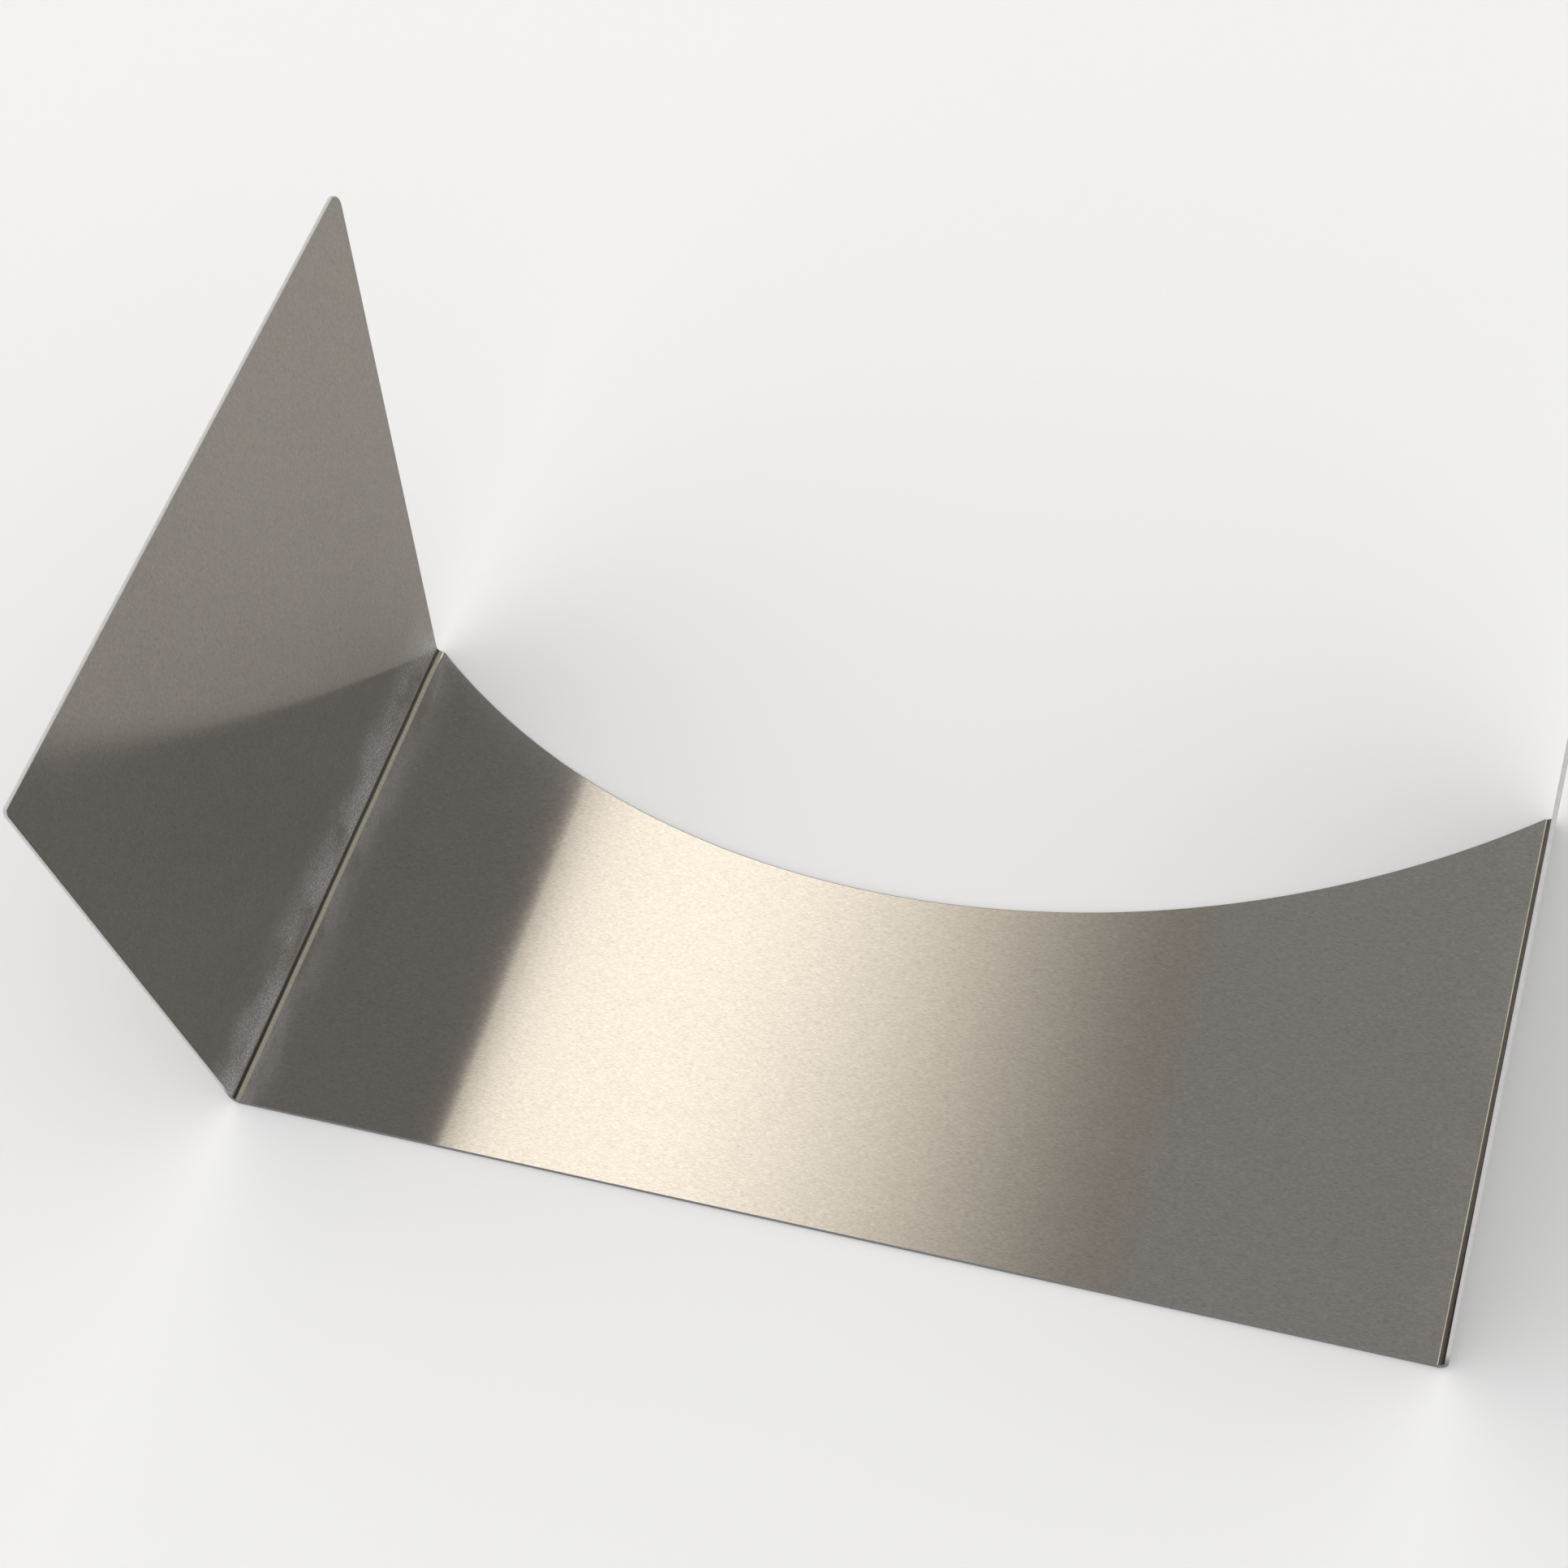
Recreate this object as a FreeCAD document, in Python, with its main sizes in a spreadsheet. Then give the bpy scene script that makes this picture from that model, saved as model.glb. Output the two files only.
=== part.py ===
"""Open chute section, folded from one stainless sheet.

The sheet has a flat bed and two side walls. One end of the bed is straight and the other is cut to a
concave arc, where the walls run on and their ends rake outward as they rise. The bed, the two bends and
the two walls are the regions of the folded sheet, divided at the bends' tangent lines, where they meet
face to face.

Frame, in millimetres: X across the chute, Y from the straight end towards the arc, Z up. The origin is
the middle of the box round the part, on the underside of the bed.
"""

import FreeCAD, Part
import math
import os

import Sketcher

# Driving dimensions: alias, value in millimetres or degrees, meaning.
SIZES = [
    ("inner_width", 500.0, "between the walls' inner faces, where they would meet the bed"),
    ("bed_length", 241.0, "from the straight end to the corners of the arc"),
    ("arc_depth", 87.0, "of the arc below the line through its corners"),
    ("sheet", 1.5, "thickness of the sheet"),
    ("bend_radius", 3.0, "inside of both bends"),
    ("wall_height", 218.0, "overall, from the underside of the bed to the top edges"),
    ("wall_lean", 1.5, "degrees that each wall leans outward from upright"),
    ("rake_angle", 18.5, "degrees between a wall's far end and upright, seen from the side"),
    ("tip_radius", 6.0, "rounding of the walls' far top corners, their tips"),
    ("near_radius", 3.0, "rounding of the walls' near top corners"),
]

# Lengths that follow from the driving dimensions, as expressions over the sheet named Sizes.
OUTER_RADIUS = "(Sizes.bend_radius + Sizes.sheet)"
BEND_ANGLE = "(90 deg - Sizes.wall_lean * 1 deg)"
SETBACK = f"(Sizes.bend_radius * tan({BEND_ANGLE} / 2))"
HALF_BED = f"(Sizes.inner_width / 2 - {SETBACK})"
ARC_RADIUS = f"(({HALF_BED}^2 + Sizes.arc_depth^2) / (2 * Sizes.arc_depth))"
SLANT_HEIGHT = "((Sizes.wall_height - Sizes.sheet) / cos(Sizes.wall_lean * 1 deg))"
RAKE = "(Sizes.rake_angle * 1 deg)"
TOP_LENGTH = f"(Sizes.bed_length + ({SLANT_HEIGHT} - {SETBACK}) * tan({RAKE}))"
TIP_CUT = f"(Sizes.tip_radius * (tan({RAKE}) + 1 / cos({RAKE}) - 1))"
START_Y = f"(({TIP_CUT} - {TOP_LENGTH}) / 2)"

RIGHT, LEFT = 1, -1
START, END, CENTRE = 1, 2, 3
AXIS_ORIGIN = (-1, 1)
FLAT_TOLERANCE = 1e-4


class Design:
    """The driving dimensions as numbers, with the lengths that a sketch starts from."""

    def __init__(self, cells):
        self.inner_width = cells.inner_width
        self.bed_length = cells.bed_length
        self.arc_depth = cells.arc_depth
        self.sheet = cells.sheet
        self.bend_radius = cells.bend_radius
        lean = math.radians(cells.wall_lean)
        self.bend_angle = math.pi / 2 - lean
        self.setback = self.bend_radius * math.tan(self.bend_angle / 2)
        self.half_bed = self.inner_width / 2 - self.setback
        self.arc_radius = (self.half_bed**2 + self.arc_depth**2) / (2 * self.arc_depth)
        self.slant_height = (cells.wall_height - self.sheet) / math.cos(lean)
        rise = self.slant_height - self.setback
        self.top_length = self.bed_length + rise * math.tan(math.radians(cells.rake_angle))


def fill_sheet(doc):
    """Writes the driving dimensions into a spreadsheet named Sizes and gives each cell its alias."""
    cells = doc.addObject("Spreadsheet::Sheet", "Sizes")
    for row, (alias, value, meaning) in enumerate(SIZES, start=1):
        cells.set(f"A{row}", alias)
        cells.set(f"B{row}", str(value))
        cells.set(f"C{row}", meaning)
        cells.setAlias(f"B{row}", alias)
    doc.recompute()
    return cells


def new_body(doc, label):
    """Adds an empty body whose label names its file."""
    body = doc.addObject("PartDesign::Body", label)
    body.Label = label
    return body


def new_sketch(body, name, role):
    """Adds a sketch on the body's own origin plane that has the given role."""
    plane = next(item for item in body.Origin.OriginFeatures if item.Role == role)
    sketch = body.newObject("Sketcher::SketchObject", name)
    sketch.AttachmentSupport = (plane, "")
    sketch.MapMode = "FlatFace"
    return sketch


def point(x, y):
    """A point of a sketch."""
    return FreeCAD.Vector(x, y, 0)


def join(sketch, *pairs):
    """Makes pairs of curve ends coincide; each pair is (curve, end, curve, end)."""
    for pair in pairs:
        sketch.addConstraint(Sketcher.Constraint("Coincident", *pair))


def bind(sketch, name, expression, kind, *where):
    """Adds a named dimension to a sketch and ties it to an expression over the sheet."""
    index = sketch.addConstraint(Sketcher.Constraint(kind, *where))
    sketch.renameConstraint(index, name)
    sketch.setExpression(f"Constraints.{name}", expression)


def pad(body, sketch, length, reverse):
    """Pads a sketch by the length that an expression gives, backwards if reverse is set."""
    feature = body.newObject("PartDesign::Pad", f"{body.Label}_pad")
    feature.Profile = sketch
    feature.setExpression("Length", length)
    feature.Reversed = reverse
    sketch.Visibility = False
    return feature


def make_bed(doc, design):
    """The flat bed: straight near end, straight sides at the bends, concave arc at the far end."""
    body = new_body(doc, "bed")
    outline = new_sketch(body, "bed_outline", "XY_Plane")
    half, length = design.half_bed, design.bed_length
    centre = point(0, length - design.arc_depth + design.arc_radius)
    rise = math.asin(half / design.arc_radius)
    circle = Part.Circle(centre, FreeCAD.Vector(0, 0, 1), design.arc_radius)
    near, right, left, arc = outline.addGeometry(
        [
            Part.LineSegment(point(-half, 0), point(half, 0)),
            Part.LineSegment(point(half, 0), point(half, length)),
            Part.LineSegment(point(-half, length), point(-half, 0)),
            Part.ArcOfCircle(circle, -math.pi / 2 - rise, -math.pi / 2 + rise),
        ]
    )
    join(outline, (near, END, right, START), (left, END, near, START))
    join(outline, (right, END, arc, END), (arc, START, left, START))
    outline.addConstraint(Sketcher.Constraint("Symmetric", near, START, near, END, *AXIS_ORIGIN))
    outline.addConstraint(Sketcher.Constraint("Vertical", right))
    outline.addConstraint(Sketcher.Constraint("Vertical", left))
    outline.addConstraint(Sketcher.Constraint("Equal", right, left))
    bind(outline, "width", f"2 * {HALF_BED}", "DistanceX", near, START, near, END, 2 * half)
    bind(outline, "length", "Sizes.bed_length", "DistanceY", right, START, right, END, length)
    bind(outline, "arc_radius", ARC_RADIUS, "Radius", arc, design.arc_radius)
    pad(body, outline, "Sizes.sheet", reverse=False)
    body.setExpression("Placement.Base.y", START_Y)
    return body


def make_fold(doc, design, side):
    """One bend: a sector of a ring, as long as the bed; the left one is the right one turned round."""
    body = new_body(doc, "right_fold" if side == RIGHT else "left_fold")
    section = new_sketch(body, f"{body.Label}_section", "XZ_Plane")
    inside, outside = design.bend_radius, design.bend_radius + design.sheet
    centre = point(design.half_bed, outside)
    first = -math.pi / 2
    last = first + design.bend_angle
    axis = FreeCAD.Vector(0, 0, 1)
    inner, outer = section.addGeometry(
        [
            Part.ArcOfCircle(Part.Circle(centre, axis, inside), first, last),
            Part.ArcOfCircle(Part.Circle(centre, axis, outside), first, last),
        ]
    )
    arcs = section.Geometry
    starts = [arc.StartPoint for arc in arcs]
    ends = [arc.EndPoint for arc in arcs]
    at_bed, at_wall = section.addGeometry([Part.LineSegment(*starts), Part.LineSegment(*ends)])
    join(section, (at_bed, START, inner, START), (at_bed, END, outer, START))
    join(section, (at_wall, START, inner, END), (at_wall, END, outer, END))
    join(section, (inner, CENTRE, outer, CENTRE))
    section.addConstraint(Sketcher.Constraint("Vertical", at_bed))
    section.addConstraint(Sketcher.Constraint("PointOnObject", inner, CENTRE, at_bed))
    section.addConstraint(Sketcher.Constraint("PointOnObject", inner, CENTRE, at_wall))
    bind(section, "inside", "Sizes.bend_radius", "Radius", inner, inside)
    bind(section, "outside", OUTER_RADIUS, "Radius", outer, outside)
    bind(section, "across", HALF_BED, "DistanceX", *AXIS_ORIGIN, inner, CENTRE, design.half_bed)
    bind(section, "above", OUTER_RADIUS, "DistanceY", *AXIS_ORIGIN, inner, CENTRE, outside)
    bind(section, "turn", BEND_ANGLE, "Angle", at_bed, END, at_wall, END, design.bend_angle)
    pad(body, section, "Sizes.bed_length", reverse=True)
    if side == LEFT:
        body.Placement = FreeCAD.Placement(point(0, 0), FreeCAD.Rotation(FreeCAD.Vector(0, 0, 1), 180))
        body.setExpression("Placement.Base.y", f"{START_Y} + Sizes.bed_length")
    else:
        body.setExpression("Placement.Base.y", START_Y)
    return body


def draw_wall(body, design):
    """A wall's outline, upright, from the corner where its inner face would meet the bed."""
    outline = new_sketch(body, f"{body.Label}_outline", "YZ_Plane")
    corners = [
        point(0, design.setback),
        point(design.bed_length, design.setback),
        point(design.top_length, design.slant_height),
        point(0, design.slant_height),
    ]
    sides = [Part.LineSegment(a, b) for a, b in zip(corners, corners[1:] + corners[:1])]
    foot, rake, top, front = outline.addGeometry(sides)
    join(outline, (foot, END, rake, START), (rake, END, top, START), (top, END, front, START))
    join(outline, (front, END, foot, START))
    outline.addConstraint(Sketcher.Constraint("Horizontal", foot))
    outline.addConstraint(Sketcher.Constraint("Horizontal", top))
    outline.addConstraint(Sketcher.Constraint("Vertical", front))
    outline.addConstraint(Sketcher.Constraint("PointOnObject", foot, START, -2))
    bind(outline, "foot_height", SETBACK, "DistanceY", *AXIS_ORIGIN, foot, START, design.setback)
    bind(outline, "foot_length", "Sizes.bed_length", "DistanceX", foot, START, foot, END, design.bed_length)
    bind(outline, "top_height", SLANT_HEIGHT, "DistanceY", *AXIS_ORIGIN, top, END, design.slant_height)
    bind(outline, "top_length", TOP_LENGTH, "DistanceX", top, END, top, START, design.top_length)
    return outline


def make_wall(doc, design, side):
    """One side wall: a plate with rounded top corners, leaned outward from where it meets the bed."""
    body = new_body(doc, "right_wall" if side == RIGHT else "left_wall")
    plate = pad(body, draw_wall(body, design), "Sizes.sheet", reverse=side == LEFT)
    rounded = round_corner(doc, body, plate, "near_corner", "Sizes.near_radius")
    round_corner(doc, body, rounded, "tip", "Sizes.tip_radius")
    body.Placement = FreeCAD.Placement(point(0, 0), FreeCAD.Rotation(FreeCAD.Vector(0, side, 0), 1))
    body.setExpression("Placement.Rotation.Angle", "Sizes.wall_lean * 1 deg")
    body.setExpression("Placement.Base.x", f"{side} * Sizes.inner_width / 2")
    body.setExpression("Placement.Base.y", START_Y)
    body.setExpression("Placement.Base.z", "Sizes.sheet")
    return body


def round_corner(doc, body, plate, name, radius):
    """Rounds a wall's near top corner, or its tip, by the radius that an expression gives."""
    doc.recompute()
    corners = top_corner_edges(plate.Shape)
    rounding = body.newObject("PartDesign::Fillet", f"{body.Label}_{name}")
    rounding.Base = (plate, [corners[-1] if name == "tip" else corners[0]])
    rounding.setExpression("Radius", radius)
    return rounding


def top_corner_edges(shape):
    """Names of the short edges through the plate's thickness along its top, from the near end to the tip."""
    highest = shape.BoundBox.ZMax
    found = {}
    for number, edge in enumerate(shape.Edges, start=1):
        box = edge.BoundBox
        is_short = box.YLength < FLAT_TOLERANCE and box.ZLength < FLAT_TOLERANCE
        if is_short and abs(box.ZMax - highest) < FLAT_TOLERANCE:
            found[box.YMin] = f"Edge{number}"
    return [found[place] for place in sorted(found)]


def check(doc, bodies):
    """Stops the build if a feature failed or a piece isn't one valid solid."""
    for item in doc.Objects:
        if "Invalid" in item.State or "Error" in item.State:
            raise RuntimeError(f"{item.Label} failed: {item.State}")
    for body in bodies:
        shape = body.Shape
        if shape.isNull() or not shape.isValid() or len(shape.Solids) != 1:
            raise RuntimeError(f"{body.Label} is not one valid solid")


def main():
    """Builds the chute's regions, checks them and writes one file for each."""
    doc = FreeCAD.newDocument("chute_section")
    design = Design(fill_sheet(doc))
    bodies = [make_bed(doc, design)]
    for side in (LEFT, RIGHT):
        bodies.append(make_fold(doc, design, side))
        bodies.append(make_wall(doc, design, side))
    doc.recompute()
    check(doc, bodies)
    os.makedirs("parts", exist_ok=True)
    for body in bodies:
        body.Shape.exportStep(f"parts/{body.Label}.step")
        box = body.Shape.BoundBox
        low = [round(v, 3) for v in (box.XMin, box.YMin, box.ZMin)]
        high = [round(v, 3) for v in (box.XMax, box.YMax, box.ZMax)]
        print(body.Label, low, high, round(body.Shape.Volume, 1))


main()
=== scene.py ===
"""Open chute section, folded from one brushed stainless sheet, in a plain pale studio.

The sheet is worked out flat and then folded up. On the flat sheet, across runs from the left wall's top edge
over the bed to the right wall's top edge, with zero in the middle of the bed. Along runs from the straight
end towards the arc, and depth goes through the sheet from its outer face to its inner face. The five regions
of the sheet, two walls, two bends and the bed, meet face to face at the bends' tangent lines.

Lengths are in metres and angles in radians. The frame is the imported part's: X across the chute, Y from the
straight end to the arc, Z up, with the underside of the bed at zero.
"""

import logging
import math
from dataclasses import dataclass
from enum import Enum

import bpy
import numpy as np
from mathutils import Matrix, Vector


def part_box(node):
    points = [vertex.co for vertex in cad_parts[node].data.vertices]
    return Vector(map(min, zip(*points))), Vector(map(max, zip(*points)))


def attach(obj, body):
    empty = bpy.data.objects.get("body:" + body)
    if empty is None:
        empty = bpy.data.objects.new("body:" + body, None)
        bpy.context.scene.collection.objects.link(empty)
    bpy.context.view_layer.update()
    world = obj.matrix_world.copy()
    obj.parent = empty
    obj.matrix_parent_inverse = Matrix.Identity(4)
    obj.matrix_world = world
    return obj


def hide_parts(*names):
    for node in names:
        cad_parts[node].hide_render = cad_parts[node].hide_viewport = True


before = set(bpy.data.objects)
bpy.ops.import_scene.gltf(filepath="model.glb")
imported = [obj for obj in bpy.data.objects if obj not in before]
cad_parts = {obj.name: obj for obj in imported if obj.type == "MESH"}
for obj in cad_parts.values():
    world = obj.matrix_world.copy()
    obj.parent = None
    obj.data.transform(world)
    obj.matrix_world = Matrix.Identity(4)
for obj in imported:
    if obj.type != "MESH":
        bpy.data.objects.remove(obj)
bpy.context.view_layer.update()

SHEET_MAP = "sheet_map"
EDGE_GAP = "edge_gap"
HAIR = 1e-7  # a length too small to matter, for comparing places
Triple = tuple[float, float, float]

log = logging.getLogger("chute")


class Region(Enum):
    """The regions of the folded sheet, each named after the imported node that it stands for."""

    LEFT_WALL = "left_wall"
    LEFT_FOLD = "left_fold"
    BED = "bed"
    RIGHT_FOLD = "right_fold"
    RIGHT_WALL = "right_wall"


@dataclass(frozen=True)
class FoldedSheet:
    """The sheet's outline, thickness and bends.

    Attributes:
        near: Y of the straight end.
        corner: Y of the arc's corners.
        half_bed: Half the flat bed's width, up to the bends' tangent lines.
        sheet: The sheet's thickness.
        wall_top: Z of the walls' top edges.
        arc_depth: How far the arc lies below the line through its corners.
        bend_radius: Inside radius of both bends.
        wall_lean: How far each wall leans outward from upright.
        rake: How far the walls' far ends lean forward from upright, seen from the side.
        tip_radius: Rounding of the walls' far top corners, their tips.
        near_radius: Rounding of the walls' near top corners.
        edge_break: Rounding of the cut edges through the sheet's thickness.
    """

    near: float
    corner: float
    half_bed: float
    sheet: float
    wall_top: float
    arc_depth: float = 0.087
    bend_radius: float = 0.003
    wall_lean: float = math.radians(1.5)
    rake: float = math.radians(18.5)
    tip_radius: float = 0.006
    near_radius: float = 0.003
    edge_break: float = 0.0004

    @property
    def bend_angle(self) -> float:
        """How far each bend turns the sheet up."""
        return math.pi / 2 - self.wall_lean

    @property
    def outer_radius(self) -> float:
        """Outside radius of both bends."""
        return self.bend_radius + self.sheet

    @property
    def fold_width(self) -> float:
        """Width of a bend on the flat sheet, measured at half its thickness."""
        return (self.bend_radius + self.sheet / 2) * self.bend_angle

    @property
    def foot(self) -> float:
        """Across the flat sheet, where a wall begins."""
        return self.half_bed + self.fold_width

    @property
    def top(self) -> float:
        """Across the flat sheet, a wall's top edge."""
        slant = (self.wall_top - self.sheet) / math.cos(self.wall_lean)
        return self.foot + slant - self.bend_radius * math.tan(self.bend_angle / 2)

    @property
    def arc_radius(self) -> float:
        """Radius of the arc, from its half width and its depth."""
        return (self.half_bed**2 + self.arc_depth**2) / (2 * self.arc_depth)

    @property
    def arc_centre(self) -> float:
        """Y of the arc's centre."""
        return self.corner - self.arc_depth + self.arc_radius

    @property
    def round_start(self) -> float:
        """Across the flat sheet, the centre line of the rounded tips."""
        return self.top - self.tip_radius

    @property
    def tip_centre(self) -> float:
        """Y of the centre that rounds the tip between the raked end and the top edge."""
        raked = self.corner + (self.round_start - self.foot) * math.tan(self.rake)
        return raked - self.tip_radius / math.cos(self.rake)

    def near_edge(self, across: np.ndarray) -> tuple[np.ndarray, np.ndarray, np.ndarray]:
        """The straight end, with the walls' near corners rounded.

        Y is near, plus r - sqrt(r^2 - (a - c)^2) past the rounding's centre line c.

        Args:
            across: Places across the flat sheet.

        Returns:
            Y of the edge, and the two parts of its outward direction: across and along the sheet.
        """
        radius = self.near_radius
        reach = np.clip(np.abs(across) - self.top + radius, 0.0, radius)
        drop = np.sqrt(radius**2 - reach**2)
        return self.near + radius - drop, np.sign(across) * reach / radius, -drop / radius

    def far_edge(self, across: np.ndarray) -> tuple[np.ndarray, np.ndarray, np.ndarray]:
        """The far end: the bed's concave arc, the bends' straight ends and the walls' raked ends.

        On the bed, Y is centre - sqrt(R^2 - a^2). On a wall it rises with the tangent of the rake, until the
        tip's circle takes over where that circle touches the raked line.

        Args:
            across: Places across the flat sheet.

        Returns:
            Y of the edge, and the two parts of its outward direction: across and along the sheet.
        """
        size, side = np.abs(across), np.sign(across)
        chord = np.minimum(size, self.half_bed)
        drop = np.sqrt(self.arc_radius**2 - chord**2)
        rise = np.maximum(size - self.foot, 0.0)
        place = self.arc_centre - drop + rise * math.tan(self.rake)
        on_bed, on_wall = size <= self.half_bed, size > self.foot
        out_across = np.where(on_bed, -across / self.arc_radius, 0.0)
        out_across = np.where(on_wall, -side * math.sin(self.rake), out_across)
        out_along = np.where(on_bed, drop / self.arc_radius, 1.0)
        out_along = np.where(on_wall, math.cos(self.rake), out_along)
        reach = np.minimum(size - self.round_start, self.tip_radius)
        on_tip = reach > -self.tip_radius * math.sin(self.rake)
        reach = np.where(on_tip, reach, 0.0)
        height = np.sqrt(self.tip_radius**2 - reach**2)
        place = np.where(on_tip, self.tip_centre + height, place)
        out_across = np.where(on_tip, side * reach / self.tip_radius, out_across)
        out_along = np.where(on_tip, height / self.tip_radius, out_along)
        return place, out_across, out_along

    def fold_up(self, across: np.ndarray, depth: np.ndarray) -> tuple[np.ndarray, np.ndarray]:
        """Folds points of the flat sheet up.

        With p the part of the bend passed, f the flat part and h the height up the wall,
        X is f + (R - d) sin p + h cos p and Z is R - (R - d) cos p + h sin p, mirrored on the left.

        Args:
            across: Places across the flat sheet.
            depth: Places through the thickness, from the outer face.

        Returns:
            X and Z of the points.
        """
        size, side = np.abs(across), np.sign(across)
        turn = self.turn(across)
        flat, rise = np.minimum(size, self.half_bed), np.maximum(size - self.foot, 0.0)
        ring = self.outer_radius - depth
        x = flat + ring * np.sin(turn) + rise * np.cos(turn)
        z = self.outer_radius - ring * np.cos(turn) + rise * np.sin(turn)
        return side * x, z

    def turn(self, across: np.ndarray) -> np.ndarray:
        """How far the sheet has turned up at a place across it."""
        passed = (np.abs(across) - self.half_bed) / self.fold_width
        return np.clip(passed, 0.0, 1.0) * self.bend_angle


@dataclass(frozen=True)
class RegionMesher:
    """Turns a region of the sheet into a closed mesh, as a thin rounded profile carried across the sheet.

    Attributes:
        sheet: The folded sheet.
        bed_steps: Steps across the bed.
        fold_steps: Steps round a bend.
        wall_steps: Steps up a wall, before its rounded corners.
        round_steps: Steps round a top corner.
        along_steps: Steps along the sheet, closer together near its ends.
        break_steps: Steps round each edge break.
        last_angle: How far the top edge's break turns before the flat cap closes it.
    """

    sheet: FoldedSheet
    bed_steps: int = 150
    fold_steps: int = 28
    wall_steps: int = 70
    round_steps: int = 14
    along_steps: int = 72
    break_steps: int = 5
    last_angle: float = math.radians(80.0)

    def stations(self, region: Region) -> np.ndarray:
        """The places across the sheet where the profile stands.

        Args:
            region: The region that the places cover.

        Returns:
            The places, from left to right.
        """
        sheet = self.sheet
        if region is Region.BED:
            return np.linspace(-sheet.half_bed, sheet.half_bed, self.bed_steps + 1)
        if region in (Region.LEFT_FOLD, Region.RIGHT_FOLD):
            places = np.linspace(sheet.half_bed, sheet.foot, self.fold_steps + 1)
        else:
            places = self.wall_stations()
        return places if region in (Region.RIGHT_FOLD, Region.RIGHT_WALL) else -places[::-1]

    def wall_stations(self) -> np.ndarray:
        """A wall's places, from its foot up: even steps, then closer ones at the top.

        Past the even steps, a place lies at the sine of even angles round the tip's circle, the near
        corner's circle and the top edge's break.

        Returns:
            The places, from the foot to the top edge.
        """
        sheet = self.sheet
        tip_start = sheet.round_start - sheet.tip_radius * math.sin(sheet.rake)
        plain = np.linspace(sheet.foot, tip_start, self.wall_steps + 1)
        before_break = sheet.top - sheet.edge_break
        angles = np.linspace(-sheet.rake, math.pi / 2, self.round_steps + 1)[1:]
        tip = sheet.round_start + sheet.tip_radius * np.sin(angles)
        angles = np.linspace(0.0, math.pi / 2, self.round_steps + 1)
        near = sheet.top - sheet.near_radius * (1 - np.sin(angles))
        rounded = np.unique(np.round(np.concatenate([tip, near]), 6))
        angles = np.linspace(0.0, self.last_angle, self.break_steps + 1)
        broken = before_break + sheet.edge_break * np.sin(angles)
        return np.concatenate([plain, rounded[rounded < before_break], broken])

    def profile(self) -> tuple[np.ndarray, np.ndarray, np.ndarray, np.ndarray]:
        """The rounded profile's points, anticlockwise from the near end along the outer face and back.

        Returns:
            For each point, its share of the way along, its share through the thickness, and the sine and
            cosine that carry it round an edge break.
        """
        steps = np.linspace(0.0, math.pi / 2, self.break_steps + 1)
        shares = (1 - np.cos(math.pi * np.arange(1, self.along_steps) / self.along_steps)) / 2
        first = (np.zeros_like(steps), -np.cos(steps), -np.sin(steps))
        middle = (shares, np.zeros_like(shares), -np.ones_like(shares))
        last = (np.ones_like(steps), np.sin(steps), -np.cos(steps))
        along, out_along, out_depth = (np.concatenate(parts) for parts in zip(first, middle, last))
        way = np.concatenate([along, along[::-1]])
        through = np.concatenate([np.zeros_like(along), np.ones_like(along)])
        lean = np.concatenate([out_along, out_along[::-1]])
        up = np.concatenate([out_depth, -out_depth[::-1]])
        return way, through, lean, up

    def build(self, region: Region) -> bpy.types.Object:
        """Makes a region's mesh: sides from the carried profile and a cap at each end of the path.

        Args:
            region: The region to make.

        Returns:
            The new object, at the origin, with its sheet map, its gap to the cut edges and its normals.
        """
        sheet = self.sheet
        across = self.stations(region)[:, None]
        way, through, lean, up = (part[None, :] for part in self.profile())
        near, near_across, near_along = sheet.near_edge(across)
        far, far_across, far_along = sheet.far_edge(across)
        left = sheet.edge_break**2 - np.maximum(np.abs(across) - sheet.top + sheet.edge_break, 0.0) ** 2
        radius = np.sqrt(left)
        inset = sheet.edge_break - radius
        along = near + inset + radius + way * (far - near - 2 * sheet.edge_break) + radius * lean
        depth = inset + radius + through * (sheet.sheet - 2 * sheet.edge_break) + radius * up
        x, z = sheet.fold_up(across, depth)
        points = np.stack([x, np.broadcast_to(along, x.shape), z], axis=-1)
        outward = np.where(lean < 0, near_across, far_across) * np.abs(lean)
        forward = np.where(lean < 0, near_along, far_along) * np.abs(lean)
        past = np.sqrt(np.maximum(1 - (radius / sheet.edge_break) ** 2, 0.0)) * np.sign(across)
        normals = self.turned(across, outward + past, forward, np.broadcast_to(up, x.shape))
        gap = np.minimum(np.minimum(along - near, far - along), sheet.top - np.abs(across))
        return self.to_object(region, across, points, normals, along, gap)

    def turned(
        self, across: np.ndarray, sideways: np.ndarray, forward: np.ndarray, up: np.ndarray
    ) -> np.ndarray:
        """Turns directions of the flat sheet up with the fold, and gives them unit length.

        With p the turn, X is s cos p - u sin p and Z is s sin p + u cos p, mirrored on the left.

        Args:
            across: Places across the flat sheet.
            sideways: The directions' parts across the sheet.
            forward: Their parts along it.
            up: Their parts through it.

        Returns:
            The directions, three numbers each.
        """
        turn, side = self.sheet.turn(across), np.sign(across)
        x = sideways * np.cos(turn) - side * up * np.sin(turn)
        z = side * sideways * np.sin(turn) + up * np.cos(turn)
        found = np.stack([x, np.broadcast_to(forward, x.shape), z], axis=-1)
        return found / np.linalg.norm(found, axis=-1, keepdims=True)

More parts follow.
